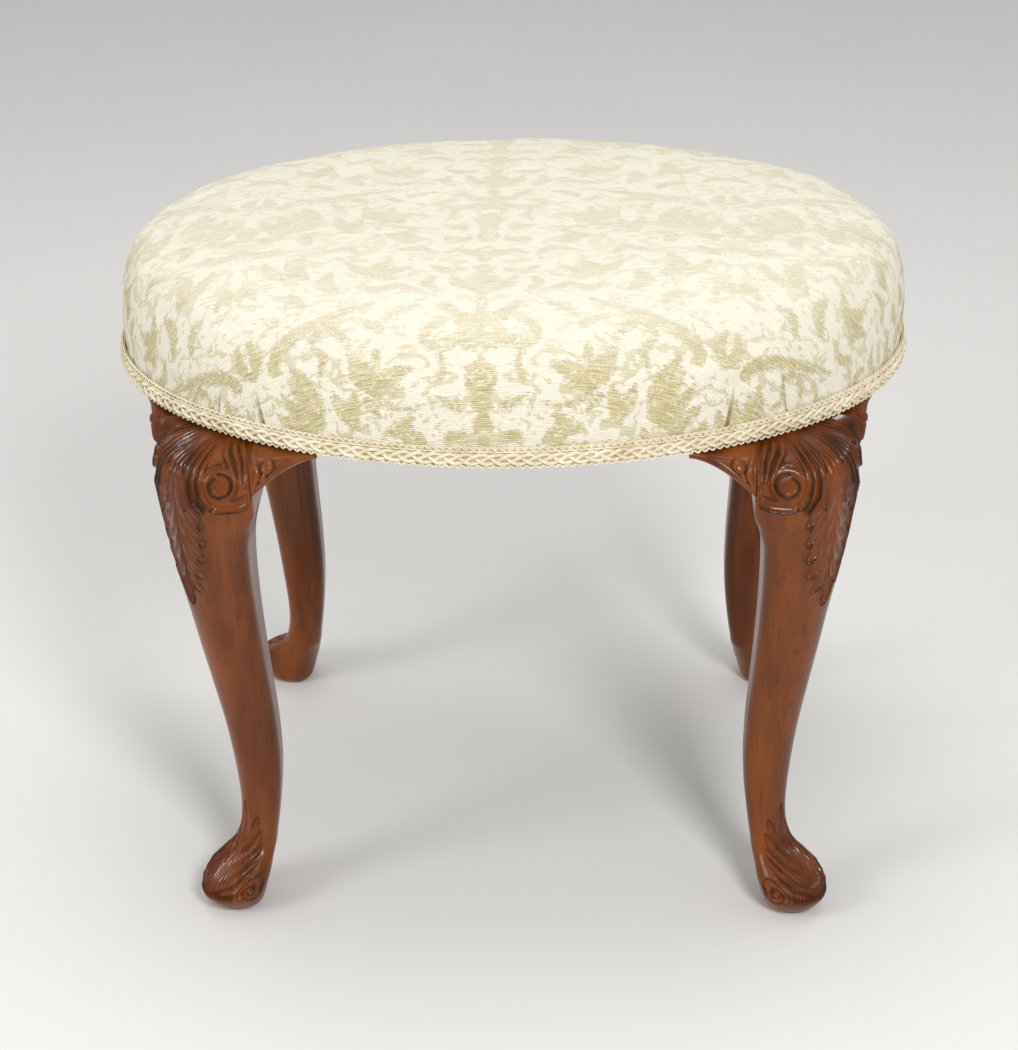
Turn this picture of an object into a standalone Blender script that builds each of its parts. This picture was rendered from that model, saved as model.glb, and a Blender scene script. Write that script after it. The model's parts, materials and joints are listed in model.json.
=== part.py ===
"""Oval dressing stool: four cabriole legs doweled to curved rails, with a stuffed-over oval seat.

The origin is on the floor under the middle of the seat. +X runs along the long side of the seat,
the front faces -Y and +Z is up. All sizes are in metres.
"""

import math

import bmesh
import bpy
from mathutils import Matrix, Vector

# Driving dimensions
SEAT_HALF_LENGTH = 0.2775
SEAT_HALF_DEPTH = 0.2165
SEAT_TOP = 0.4770
RAIL_BOTTOM = 0.3730
RAIL_HEIGHT = 0.0550
RAIL_THICKNESS = 0.0340
FOOT_HALF_SPACING_X = 0.7064 * SEAT_HALF_LENGTH
FOOT_HALF_SPACING_Y = 0.7345 * SEAT_HALF_DEPTH
GAP = 0.0003

# Seat layers, from the outside in
COVER_THICKNESS = 0.0015
WADDING_THICKNESS = 0.0080
HESSIAN_THICKNESS = 0.0010
WEB_THICKNESS = 0.0016
WEB_WIDTH = 0.0500
LONG_WEBS = 3
CROSS_WEBS = 4
WEB_PITCH_LONG = 0.0800
WEB_PITCH_CROSS = 0.0860
GIMP_HEIGHT = 0.0155
GIMP_THICKNESS = 0.0026
DUST_CLOTH_THICKNESS = 0.0008
DUST_CLOTH_MARGIN = 0.0100

# Joints of the frame
DOWEL_DIAMETER = 0.0095
DOWEL_LENGTH = 0.0320
DOWEL_PITCH = 0.0220
FRONT_DOWEL_HEIGHT = 0.0100
SIDE_DOWEL_HEIGHT = 0.0210
FRONT_DOWEL_INSET = 0.0220
SIDE_DOWEL_INSET = 0.0290
BLOCK_DEPTH = 0.0240
BLOCK_HEIGHT = 0.0420
BLOCK_START_DEG = 32.0
BLOCK_END_DEG = 62.0
SCREW_DIAMETER = 0.0045
SCREW_HEAD_DIAMETER = 0.0085
SCREW_HEAD_HEIGHT = 0.0030
SCREW_LENGTH = 0.0380

# Ears: the shaped brackets beside each knee, under the rails
LONG_EAR_LENGTH = 0.0430
END_EAR_LENGTH = 0.0330
EAR_DEPTH_AT_LEG = 0.0300
EAR_TIP_DEPTH = 0.0050
EAR_THICKNESS = 0.0250
EAR_SETBACK = 0.0040
EAR_TIP_SETBACK = 0.0020
EAR_TOP_LEAN = 0.0180
EAR_ROUND = 0.0030
EAR_STEPS = 10

# Cabriole leg, cut from square stock. Each station gives the height, then the inner and the outer face
# of the leg measured from the middle of the foot, then the rounding of the outer corner, of the two
# side corners and of the inner corner as shares of the leg's width there.
LEG_STATIONS = [
    (0.0000, -0.0090, 0.0130, 0.42, 0.45, 0.45),
    (0.0040, -0.0130, 0.0210, 0.42, 0.45, 0.45),
    (0.0100, -0.0155, 0.0265, 0.42, 0.45, 0.45),
    (0.0190, -0.0180, 0.0300, 0.42, 0.45, 0.45),
    (0.0280, -0.0205, 0.0275, 0.42, 0.45, 0.45),
    (0.0360, -0.0220, 0.0180, 0.42, 0.44, 0.44),
    (0.0440, -0.0240, 0.0080, 0.42, 0.42, 0.42),
    (0.0520, -0.0250, 0.0035, 0.42, 0.40, 0.40),
    (0.0620, -0.0265, 0.0010, 0.42, 0.38, 0.38),
    (0.0750, -0.0282, 0.0000, 0.42, 0.36, 0.36),
    (0.0920, -0.0300, 0.0005, 0.42, 0.34, 0.34),
    (0.1100, -0.0310, 0.0020, 0.42, 0.32, 0.32),
    (0.1450, -0.0305, 0.0060, 0.42, 0.32, 0.30),
    (0.1800, -0.0282, 0.0115, 0.42, 0.32, 0.28),
    (0.2150, -0.0260, 0.0175, 0.44, 0.30, 0.26),
    (0.2470, -0.0245, 0.0230, 0.48, 0.28, 0.24),
    (0.2800, -0.0240, 0.0300, 0.56, 0.24, 0.20),
    (0.3000, -0.0250, 0.0340, 0.62, 0.20, 0.16),
    (0.3150, -0.0285, 0.0370, 0.68, 0.16, 0.10),
    (0.3280, -0.0320, 0.0400, 0.74, 0.05, 0.05),
    (0.3450, -0.0320, 0.0420, 0.80, 0.03, 0.04),
    (0.3560, -0.0320, 0.0400, 0.82, 0.03, 0.04),
    (0.3640, -0.0320, 0.0330, 0.82, 0.03, 0.04),
    (0.3695, -0.0320, 0.0210, 0.82, 0.03, 0.04),
    (0.3724, -0.0320, 0.0060, 0.82, 0.03, 0.04),
]
OUTER_CORNER_POINTS = 7
OTHER_CORNER_POINTS = 4

# Side of the seat: how far each line lies inside the widest line at the front, and its height
SEAT_PROFILE = [
    (0.0020, RAIL_BOTTOM + 0.0005),
    (0.0008, RAIL_BOTTOM + 0.0170),
    (0.0000, RAIL_BOTTOM + 0.0370),
    (0.0020, RAIL_BOTTOM + 0.0580),
    (0.0070, SEAT_TOP - 0.0270),
    (0.0165, SEAT_TOP - 0.0145),
    (0.0330, SEAT_TOP - 0.0080),
    (0.0650, SEAT_TOP - 0.0038),
    (0.1150, SEAT_TOP - 0.0010),
    (0.1750, SEAT_TOP),
]
SEAT_POINTS = 48

RAIL_TOP = RAIL_BOTTOM + RAIL_HEIGHT
RAIL_INSET = SEAT_PROFILE[0][0] + COVER_THICKNESS + 0.0006
RAIL_OUTER = (SEAT_HALF_LENGTH - RAIL_INSET - 0.0010, SEAT_HALF_DEPTH - RAIL_INSET)
RAIL_INNER = (RAIL_OUTER[0] - RAIL_THICKNESS, RAIL_OUTER[1] - RAIL_THICKNESS)
POST_X = FOOT_HALF_SPACING_X + LEG_STATIONS[-1][1]
POST_Y = FOOT_HALF_SPACING_Y + LEG_STATIONS[-1][1]
KNEE_TOP = LEG_STATIONS[-1][0]
WEB_RISE = WEB_THICKNESS + 2 * GAP
WEB_BASE = RAIL_TOP + GAP
HESSIAN_BASE = WEB_BASE + WEB_RISE + WEB_THICKNESS + GAP
CUTTER_MARGIN = 0.0200
CURVE_STEPS = 24
BLOCK_STEPS = 8
ROUND_STEPS = 12

CORNERS = {
    "front_left": (-1, -1),
    "front_right": (1, -1),
    "rear_left": (-1, 1),
    "rear_right": (1, 1),
}


def clear_scene():
    for obj in list(bpy.data.objects):
        bpy.data.objects.remove(obj)


def new_collection(name):
    collection = bpy.data.collections.new(name)
    bpy.context.scene.collection.children.link(collection)
    return collection


def new_material(name, colour, roughness, metallic=0.0):
    material = bpy.data.materials.new(name)
    material.use_nodes = True
    shader = material.node_tree.nodes["Principled BSDF"]
    shader.inputs["Base Color"].default_value = (*colour, 1.0)
    shader.inputs["Roughness"].default_value = roughness
    shader.inputs["Metallic"].default_value = metallic
    return material


def new_object(name, mesh, collection, material=None, scale=(1, 1, 1)):
    obj = bpy.data.objects.new(name, mesh)
    obj.scale = scale
    if material and not mesh.materials:
        mesh.materials.append(material)
    collection.objects.link(obj)
    return obj


def mesh_from(shape, name):
    bmesh.ops.recalc_face_normals(shape, faces=shape.faces)
    mesh = bpy.data.meshes.new(name)
    shape.to_mesh(mesh)
    shape.free()
    return mesh


def ellipse_point(axes, angle, z=0.0):
    return Vector((axes[0] * math.cos(angle), axes[1] * math.sin(angle), z))


def ellipse_ring(axes, z, count):
    return [ellipse_point(axes, math.tau * i / count, z) for i in range(count)]


def loft(name, rings, tube=False):
    """A skin of four-sided faces over a row of rings, with flat caps, or joined up as a tube."""
    shape = bmesh.new()
    loops = [[shape.verts.new(point) for point in ring] for ring in rings]
    pairs = list(zip(loops, loops[1:]))
    if tube:
        pairs.append((loops[-1], loops[0]))
    for low, high in pairs:
        for i in range(len(low)):
            shape.faces.new((low[i - 1], low[i], high[i], high[i - 1]))
    if not tube:
        shape.faces.new(loops[0])
        shape.faces.new(loops[-1])
    return mesh_from(shape, name)


def extruded(name, outline, travel):
    """A flat outline pushed along the travel vector into a closed solid."""
    shape = bmesh.new()
    face = shape.faces.new([shape.verts.new(p) for p in outline])
    pushed = bmesh.ops.extrude_face_region(shape, geom=[face])["geom"]
    moved = [v for v in pushed if isinstance(v, bmesh.types.BMVert)]
    bmesh.ops.translate(shape, verts=moved, vec=travel)
    return mesh_from(shape, name)


def rod(name, radius, start, end, steps=ROUND_STEPS):
    """A round bar between two points."""
    start, end = Vector(start), Vector(end)
    length = (end - start).length
    shape = bmesh.new()
    bmesh.ops.create_cone(
        shape, cap_ends=True, segments=steps, radius1=radius, radius2=radius, depth=length
    )
    turn = (end - start).to_track_quat("Z", "Y").to_matrix().to_4x4()
    bmesh.ops.transform(shape, verts=shape.verts, matrix=Matrix.Translation((start + end) / 2) @ turn)
    return mesh_from(shape, name)


def box(name, low, high):
    low, high = Vector(low), Vector(high)
    shape = bmesh.new()
    place = Matrix.Translation((low + high) / 2) @ Matrix.Diagonal((*(high - low), 1))
    bmesh.ops.create_cube(shape, size=1, matrix=place)
    return mesh_from(shape, name)


def combined(name, base, tools):
    """The base mesh after each (operation, mesh) tool has been applied to it in turn."""
    body = new_object(name + "_blank", base, cutters)
    helpers = []
    for index, (operation, mesh) in enumerate(tools):
        helper = new_object(f"{name}_cutter_{index}", mesh, cutters)
        helpers.append(helper)
        step = body.modifiers.new(operation.title(), "BOOLEAN")
        step.operation = operation
        step.object = helper
    bpy.context.view_layer.update()
    graph = bpy.context.evaluated_depsgraph_get()
    result = bpy.data.meshes.new_from_object(body.evaluated_get(graph))
    result.name = name
    for obj in [body, *helpers]:
        bpy.data.objects.remove(obj)
    return result


def smooth(mesh, angle=40.0):
    mesh.shade_smooth()
    mesh.set_sharp_from_angle(angle=math.radians(angle))
    return mesh


def dowel_axes():
    """The start and end of every dowel of one corner, in the quarter where X and Y are positive."""
    half = DOWEL_LENGTH / 2
    places = {}
    for index, level in enumerate(("lower", "upper")):
        z = RAIL_BOTTOM + FRONT_DOWEL_HEIGHT + index * DOWEL_PITCH
        y = POST_Y + FRONT_DOWEL_INSET
        places["long_rail_" + level] = ((POST_X - half, y, z), (POST_X + half, y, z))
        z = RAIL_BOTTOM + SIDE_DOWEL_HEIGHT + index * DOWEL_PITCH
        x = POST_X + SIDE_DOWEL_INSET
        places["end_rail_" + level] = ((x, POST_Y - half, z), (x, POST_Y + half, z))
    return places


def dowel_holes(which):
    """Cutters for the dowel holes of one corner, with clearance all round."""
    grown = GAP + 0.0005
    cuts = []
    for name, (start, end) in dowel_axes().items():
        if name.startswith(which):
            along = (Vector(end) - Vector(start)).normalized() * grown
            cut = rod("hole", DOWEL_DIAMETER / 2 + GAP, Vector(start) - along, Vector(end) + along)
            cuts.append(("DIFFERENCE", cut))
    return cuts


def screw_axis():
    """Where the corner screw starts, on the face of the corner block, and its direction."""
    outward = Vector((POST_X, POST_Y, 0)).normalized()
    corner = Vector((POST_X, POST_Y, RAIL_BOTTOM + RAIL_HEIGHT / 2))
    return corner - outward * (BLOCK_DEPTH * 0.75), outward


def screw_mesh():
    """A countersunk wood screw, from its head to its tip."""
    start, outward = screw_axis()
    head = SCREW_HEAD_DIAMETER / 2
    core = SCREW_DIAMETER / 2
    taper = SCREW_LENGTH * 0.8
    stages = [(head, 0.0), (core, SCREW_HEAD_HEIGHT), (core, taper), (core * 0.2, SCREW_LENGTH)]
    turn = outward.to_track_quat("Z", "Y").to_matrix()
    rings = []
    for radius, depth in stages:
        ring = ellipse_ring((radius, radius), depth, ROUND_STEPS)
        rings.append([start + turn @ point for point in ring])
    return smooth(loft("corner_screw", rings))


def screw_hole():
    start, outward = screw_axis()
    head = SCREW_HEAD_DIAMETER / 2 + GAP
    core = SCREW_DIAMETER / 2 + GAP
    reach = BLOCK_DEPTH + CUTTER_MARGIN
    stages = [(head, -reach), (head, 0.0), (core, SCREW_HEAD_HEIGHT), (core, SCREW_LENGTH + GAP * 3)]
    turn = outward.to_track_quat("Z", "Y").to_matrix()
    rings = []
    for radius, depth in stages:
        ring = ellipse_ring((radius, radius), depth, ROUND_STEPS)
        rings.append([start + turn @ point for point in ring])
    return loft("screw_hole", rings)


def corner_arc(centre, radius, first_quarter, count):
    points = []
    for i in range(count):
        angle = math.radians(90 * (first_quarter + i / (count - 1)))
        points.append((centre[0] + radius * math.cos(angle), centre[1] + radius * math.sin(angle)))
    return points


def leg_ring(station):
    """One rounded square section of the leg, in the quarter where X and Y are positive."""
    z, inner, outer, round_outer, round_side, round_inner = station
    width = outer - inner
    big, side, small = round_outer * width, round_side * width, round_inner * width
    flat = corner_arc((outer - big, outer - big), big, 0, OUTER_CORNER_POINTS)
    flat += corner_arc((inner + side, outer - side), side, 1, OTHER_CORNER_POINTS)
    flat += corner_arc((inner + small, inner + small), small, 2, OTHER_CORNER_POINTS)
    flat += corner_arc((outer - side, inner + side), side, 3, OTHER_CORNER_POINTS)
    return [Vector((FOOT_HALF_SPACING_X + u, FOOT_HALF_SPACING_Y + v, z)) for u, v in flat]


def oval_cylinder(name, axes, low, high, steps=SEAT_POINTS * 2):
    return loft(name, [ellipse_ring(axes, low, steps), ellipse_ring(axes, high, steps)])


def leg_mesh():
    """The carved leg's plain form: scroll foot, ankle, knee and the post that the rails join."""
    blank = loft("leg_blank", [leg_ring(station) for station in LEG_STATIONS])
    reach = SEAT_HALF_LENGTH
    sink = 0.0200
    post = box("post", (POST_X, POST_Y, KNEE_TOP - sink), (reach, reach, RAIL_TOP))
    oval = oval_cylinder("post_oval", RAIL_OUTER, KNEE_TOP - 2 * sink, RAIL_TOP + sink)
    post = combined("post", post, [("INTERSECT", oval)])
    tools = [("UNION", post)] + dowel_holes("long_rail") + dowel_holes("end_rail")
    tools.append(("DIFFERENCE", screw_hole()))
    return smooth(combined("leg", blank, tools))


def rail_outline(along_x):
    """A curved rail in plan, from leg to leg, on the positive side."""
    if along_x:
        limit = POST_X - GAP
        outer = [math.acos(limit / RAIL_OUTER[0]), math.pi - math.acos(limit / RAIL_OUTER[0])]
        inner = [math.acos(limit / RAIL_INNER[0]), math.pi - math.acos(limit / RAIL_INNER[0])]
    else:
        limit = POST_Y - GAP
        outer = [-math.asin(limit / RAIL_OUTER[1]), math.asin(limit / RAIL_OUTER[1])]
        inner = [-math.asin(limit / RAIL_INNER[1]), math.asin(limit / RAIL_INNER[1])]

    def arc(axes, ends):
        step = (ends[1] - ends[0]) / CURVE_STEPS
        return [ellipse_point(axes, ends[0] + i * step, RAIL_BOTTOM) for i in range(CURVE_STEPS + 1)]

    return arc(RAIL_OUTER, outer) + arc(RAIL_INNER, inner)[::-1]


def mirrored(mesh, flip):
    copy = mesh.copy()
    copy.transform(Matrix.Diagonal((*flip, 1, 1)))
    if flip[0] * flip[1] < 0:
        copy.flip_normals()
    return copy


def rail_mesh(along_x):
    blank = extruded("rail", rail_outline(along_x), (0, 0, RAIL_HEIGHT))
    which = "long_rail" if along_x else "end_rail"
    other = (-1, 1) if along_x else (1, -1)
    cuts = dowel_holes(which) + [("DIFFERENCE", screw_hole())]
    if not along_x:
        low = (0, 0, RAIL_BOTTOM - CUTTER_MARGIN)
        high = (POST_X, SEAT_HALF_LENGTH, RAIL_TOP + CUTTER_MARGIN)
        cuts.append(("DIFFERENCE", box("long_rail_room", low, high)))
    tools = []
    for operation, cut in cuts:
        tools += [(operation, cut), (operation, mirrored(cut, other))]
    return smooth(combined(which, blank, tools))


def oval_at(along, half_along, half_across):
    """How far the seat's oval reaches across at a distance along its other axis."""
    return half_across * math.sqrt(1 - (along / half_along) ** 2)


def ear_mesh(along_x):
    """A bracket with a hollow lower edge; its face leans back to the edge of the seat, as the knee's does."""
    if along_x:
        start, length, foot = POST_X - GAP, LONG_EAR_LENGTH, FOOT_HALF_SPACING_Y
        tip = oval_at(start - length, SEAT_HALF_LENGTH, SEAT_HALF_DEPTH)
    else:
        start, length, foot = POST_Y - GAP, END_EAR_LENGTH, FOOT_HALF_SPACING_X
        tip = oval_at(start - length, SEAT_HALF_DEPTH, SEAT_HALF_LENGTH)
    top = RAIL_BOTTOM - GAP
    knee_face = foot + max(station[2] for station in LEG_STATIONS) - EAR_SETBACK
    rings = []
    for i in range(EAR_STEPS + 1):
        share = i / EAR_STEPS
        along = start - length * share
        face = knee_face + (tip - EAR_TIP_SETBACK - knee_face) * share
        edge = face - (1 - share) * EAR_TOP_LEAN
        low = top - EAR_TIP_DEPTH - (EAR_DEPTH_AT_LEG - EAR_TIP_DEPTH) * (1 - share) ** 1.6
        back = face - EAR_THICKNESS
        brow = top - (top - low) * 0.45
        section = [(back, top), (edge, top), (face, brow), (face - EAR_ROUND, low), (back, low)]
        ring = [(along, across, z) if along_x else (across, along, z) for across, z in section]
        rings.append([Vector(point) for point in ring])
    return smooth(loft("long_ear" if along_x else "end_ear", rings))


def block_mesh():
    """A glue block across the corner, shaped to the rails on its outer side and notched for the post."""
    start, end = math.radians(BLOCK_START_DEG), math.radians(BLOCK_END_DEG)
    axes = (RAIL_INNER[0] - 2 * GAP, RAIL_INNER[1] - 2 * GAP)
    z = RAIL_BOTTOM + (RAIL_HEIGHT - BLOCK_HEIGHT) / 2
    step = (end - start) / BLOCK_STEPS
    arc = [ellipse_point(axes, start + i * step, z) for i in range(BLOCK_STEPS + 1)]
    inward = -Vector((POST_X, POST_Y, 0)).normalized() * (BLOCK_DEPTH * 0.6)
    outline = arc + [arc[-1] + inward, arc[0] + inward]
    blank = extruded("corner_block", outline, (0, 0, BLOCK_HEIGHT))
    far = (SEAT_HALF_LENGTH, SEAT_HALF_LENGTH, RAIL_TOP + CUTTER_MARGIN)
    notch = box("notch", (POST_X - GAP, POST_Y - GAP, RAIL_BOTTOM - CUTTER_MARGIN), far)
    tools = [("DIFFERENCE", notch), ("DIFFERENCE", screw_hole())]
    return combined("corner_block", blank, tools + dowel_holes("long_rail") + dowel_holes("end_rail"))


def seat_rings(inset, first=0):
    """Rings of the seat's domed side and top, set in by a distance along the surface normal."""
    rings = []
    last = len(SEAT_PROFILE) - 1
    for index in range(first, last + 1):
        before = SEAT_PROFILE[max(index - 1, 0)]
        after = SEAT_PROFILE[min(index + 1, last)]
        along = Vector((after[0] - before[0], after[1] - before[1])).normalized()
        e, z = SEAT_PROFILE[index]
        e, z = e + inset * along.y, z - inset * along.x
        stretch = 1 + (SEAT_HALF_LENGTH / SEAT_HALF_DEPTH - 1) * e / SEAT_HALF_DEPTH
        axes = (SEAT_HALF_LENGTH - e * stretch, SEAT_HALF_DEPTH - e)
        rings.append(ellipse_ring(axes, z, SEAT_POINTS))
    return rings


def seat_shell(name, outset, thickness, first):
    """A layer of the seat, open underneath: its outer skin, its rim and its inner skin."""
    outer = seat_rings(outset, first)
    inner = seat_rings(outset + thickness, first)
    return smooth(loft(name, outer[::-1] + inner), 60.0)


def stuffing_mesh(first):
    rings = seat_rings(COVER_THICKNESS + WADDING_THICKNESS + 2 * GAP, first)
    base = HESSIAN_BASE + HESSIAN_THICKNESS + GAP
    share = (base - rings[0][0].z) / (rings[1][0].z - rings[0][0].z)
    foot = [low.lerp(high, share) for low, high in zip(rings[0], rings[1])]
    return smooth(loft("hair_stuffing", [foot] + rings[1:]), 60.0)


def web_mesh(name, half_span, offset, along_x, crossings, over_first):
    """A woven strap: it lies on the rails and rises over every second strap that it crosses."""
    ramp = WEB_WIDTH / 2 + 0.0060
    stops = [(-half_span, 0.0)]
    for index, place in enumerate(crossings):
        if (index % 2 == 0) == over_first:
            flat = WEB_WIDTH / 2 + 0.0010
            stops += [(place - ramp - 0.004, 0.0), (place - flat, WEB_RISE)]
            stops += [(place + flat, WEB_RISE), (place + ramp + 0.004, 0.0)]
    stops.append((half_span, 0.0))
    rings = []
    for along, rise in stops:
        low, high = WEB_BASE + rise, WEB_BASE + rise + WEB_THICKNESS
        sides = (offset - WEB_WIDTH / 2, offset + WEB_WIDTH / 2)
        corners = [(sides[0], low), (sides[1], low), (sides[1], high), (sides[0], high)]
        if along_x:
            rings.append([Vector((along, side, z)) for side, z in corners])
        else:
            rings.append([Vector((side, along, z)) for side, z in corners])
    return loft(name, rings)


def gimp_mesh():
    """The flat braid that covers the lower edge of the seat cover."""
    base = RAIL_BOTTOM
    inner = SEAT_PROFILE[1][0] - GAP
    bulge = [(0.0, 0.0), (0.6, 0.0), (1.0, 0.2), (1.0, 0.8), (0.6, 1.0), (0.0, 1.0)]
    rings = []
    for out, up in bulge:
        grow = GIMP_THICKNESS * out - inner
        axes = (SEAT_HALF_LENGTH + grow, SEAT_HALF_DEPTH + grow)
        rings.append(ellipse_ring(axes, base + GIMP_HEIGHT * up, SEAT_POINTS))
    return smooth(loft("gimp_braid", rings, tube=True))


def dust_cloth_mesh():
    """The thin cloth under the frame, cut away round the legs."""
    axes = (RAIL_INNER[0] + DUST_CLOTH_MARGIN, RAIL_INNER[1] + DUST_CLOTH_MARGIN)
    top = RAIL_BOTTOM - GAP
    low = top - DUST_CLOTH_THICKNESS
    sheet = oval_cylinder("dust_cloth", axes, low, top, SEAT_POINTS)
    clear = 0.0010
    tools = []
    for side in CORNERS.values():
        near = (POST_X - clear, POST_Y - clear, low - CUTTER_MARGIN)
        far = (SEAT_HALF_LENGTH, SEAT_HALF_LENGTH, top + CUTTER_MARGIN)
        tools.append(("DIFFERENCE", mirrored(box("corner", near, far), side)))
    return combined("dust_cloth", sheet, tools)


def build_frame(parts):
    walnut = new_material("walnut", (0.18, 0.065, 0.025), 0.32)
    beech = new_material("beech", (0.55, 0.38, 0.22), 0.6)
    steel = new_material("steel", (0.45, 0.43, 0.40), 0.4, 1.0)
    leg, block, screw = leg_mesh(), block_mesh(), screw_mesh()
    ears = {"long": ear_mesh(True), "end": ear_mesh(False)}
    dowels = {name: smooth(rod("dowel", DOWEL_DIAMETER / 2, *ends)) for name, ends in dowel_axes().items()}
    for corner, side in CORNERS.items():
        turned = (*side, 1)
        new_object("leg_" + corner, leg, parts, walnut, turned)
        new_object("corner_block_" + corner, block, parts, beech, turned)
        new_object("corner_screw_" + corner, screw, parts, steel, turned)
        for name, mesh in ears.items():
            new_object(f"knee_ear_{corner}_{name}", mesh, parts, walnut, turned)
        for name, mesh in dowels.items():
            new_object(f"dowel_{corner}_{name}", mesh, parts, beech, turned)
    long_rail, end_rail = rail_mesh(True), rail_mesh(False)
    new_object("rail_front", long_rail, parts, beech, (1, -1, 1))
    new_object("rail_rear", long_rail, parts, beech)
    new_object("rail_left", end_rail, parts, beech, (-1, 1, 1))
    new_object("rail_right", end_rail, parts, beech)


def build_seat(parts):
    jute = new_material("jute", (0.42, 0.30, 0.16), 0.9)
    hair = new_material("hair", (0.10, 0.07, 0.05), 0.9)
    cotton = new_material("cotton", (0.80, 0.77, 0.70), 0.95)
    damask = new_material("damask", (0.82, 0.74, 0.55), 0.85)
    braid = new_material("braid", (0.72, 0.60, 0.38), 0.8)
    cambric = new_material("cambric", (0.05, 0.05, 0.05), 0.9)
    rows = [(i - (LONG_WEBS - 1) / 2) * WEB_PITCH_LONG for i in range(LONG_WEBS)]
    columns = [(i - (CROSS_WEBS - 1) / 2) * WEB_PITCH_CROSS for i in range(CROSS_WEBS)]
    reach = [(o + i) / 2 for o, i in zip(RAIL_OUTER, RAIL_INNER)]
    for index, y in enumerate(rows):
        edge = abs(y) + WEB_WIDTH / 2
        span = reach[0] * math.sqrt(1 - (edge / reach[1]) ** 2)
        web = web_mesh("web", span, y, True, columns, index % 2 == 0)
        new_object(f"web_long_{index + 1}", web, parts, jute)
    for index, x in enumerate(columns):
        edge = abs(x) + WEB_WIDTH / 2
        span = reach[1] * math.sqrt(1 - (edge / reach[0]) ** 2)
        web = web_mesh("web", span, x, False, rows, index % 2 == 1)
        new_object(f"web_cross_{index + 1}", web, parts, jute)
    middle = tuple(reach)
    sheet = oval_cylinder("hessian", middle, HESSIAN_BASE, HESSIAN_BASE + HESSIAN_THICKNESS, SEAT_POINTS)
    new_object("hessian", sheet, parts, jute)
    top_layers = next(i for i, (_, z) in enumerate(SEAT_PROFILE) if z > RAIL_TOP)
    new_object("hair_stuffing", stuffing_mesh(top_layers), parts, hair)
    inner = COVER_THICKNESS + GAP
    new_object("wadding", seat_shell("wadding", inner, WADDING_THICKNESS, top_layers), parts, cotton)
    new_object("seat_cover", seat_shell("seat_cover", 0.0, COVER_THICKNESS, 0), parts, damask)
    new_object("gimp_braid", gimp_mesh(), parts, braid)
    new_object("dust_cloth", dust_cloth_mesh(), parts, cambric)


clear_scene()
stool = new_collection("vanity_stool")
cutters = new_collection("cutters")
build_frame(stool)
build_seat(stool)
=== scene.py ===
"""Looks of the oval vanity stool: carved walnut legs, stuffed damask seat and gimp braid."""

import json
import math

import bmesh
import bpy
import numpy as np
from mathutils import Matrix, Vector

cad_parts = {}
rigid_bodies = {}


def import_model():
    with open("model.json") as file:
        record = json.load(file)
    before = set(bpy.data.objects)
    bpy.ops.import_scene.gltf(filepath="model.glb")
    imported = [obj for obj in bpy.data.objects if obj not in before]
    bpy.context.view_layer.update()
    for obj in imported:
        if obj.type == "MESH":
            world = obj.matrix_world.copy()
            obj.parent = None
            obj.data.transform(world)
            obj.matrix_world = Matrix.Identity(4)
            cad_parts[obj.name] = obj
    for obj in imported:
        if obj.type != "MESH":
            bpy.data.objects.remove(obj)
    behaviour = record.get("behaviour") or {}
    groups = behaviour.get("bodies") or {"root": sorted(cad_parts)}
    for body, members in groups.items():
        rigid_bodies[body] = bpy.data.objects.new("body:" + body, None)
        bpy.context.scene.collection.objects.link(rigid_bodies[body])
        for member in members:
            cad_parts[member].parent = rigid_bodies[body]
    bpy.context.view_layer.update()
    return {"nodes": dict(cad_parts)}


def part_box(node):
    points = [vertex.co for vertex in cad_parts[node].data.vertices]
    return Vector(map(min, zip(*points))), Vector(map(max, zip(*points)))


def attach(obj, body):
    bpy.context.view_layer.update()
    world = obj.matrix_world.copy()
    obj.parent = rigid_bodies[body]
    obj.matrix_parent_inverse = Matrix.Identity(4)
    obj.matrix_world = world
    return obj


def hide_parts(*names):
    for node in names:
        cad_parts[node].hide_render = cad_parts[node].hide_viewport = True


for leftover in list(bpy.data.objects):
    bpy.data.objects.remove(leftover)
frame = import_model()


# The four legs. Each is one piece of walnut, bandsawn to a double curve from square stock, then carved with
# a hanging acanthus leaf and scrolls on the knee and a leaf over the rolled toe, stained and French polished.
# The rails are doweled into the post above the knee.

FOOT_X = 0.1960
FOOT_Y = 0.1590
LEG_TOP, POST_TOP = 372.4, 428.0
LEG_HEIGHTS = [0, 4, 10, 19, 28, 36, 44, 52, 62, 75, 92, 110, 145, 180, 215, 247, 280, 300]
LEG_INNER = [-9, -13, -15.5, -18, -20.5, -22, -24, -25, -26.5]
LEG_INNER += [-28.2, -30, -31, -30.5, -28.2, -26, -24.5, -24, -25]
LEG_OUTER = [13, 21, 26.5, 30, 27.5, 18, 8, 3.5, 1, 0, 0.5, 2, 6, 11.5, 17.5, 23, 30, 34]
LEG_HEIGHTS += [315, 328, 345, 356, 364, 369.5, LEG_TOP, 374, POST_TOP]
LEG_INNER += [-28.5, -32, -32, -32, -32, -32, -32, -32, -32]
LEG_OUTER += [37, 40, 42, 40, 33, 21, 6, -2, -2]
ROUND_HEIGHTS = [0, 110, 180, 215, 247, 280, 300, 315, 328, 345, LEG_TOP]
ROUND_OUTER = [0.42, 0.42, 0.42, 0.44, 0.48, 0.56, 0.62, 0.68, 0.74, 0.80, 0.82]
ROUND_SIDE = [0.45, 0.32, 0.32, 0.30, 0.28, 0.24, 0.20, 0.16, 0.05, 0.03, 0.03]
ROUND_INNER = [0.45, 0.32, 0.28, 0.26, 0.24, 0.20, 0.16, 0.10, 0.05, 0.04, 0.04]
VOLUTE = (40.0, 352.0)
MM = 0.001


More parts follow.
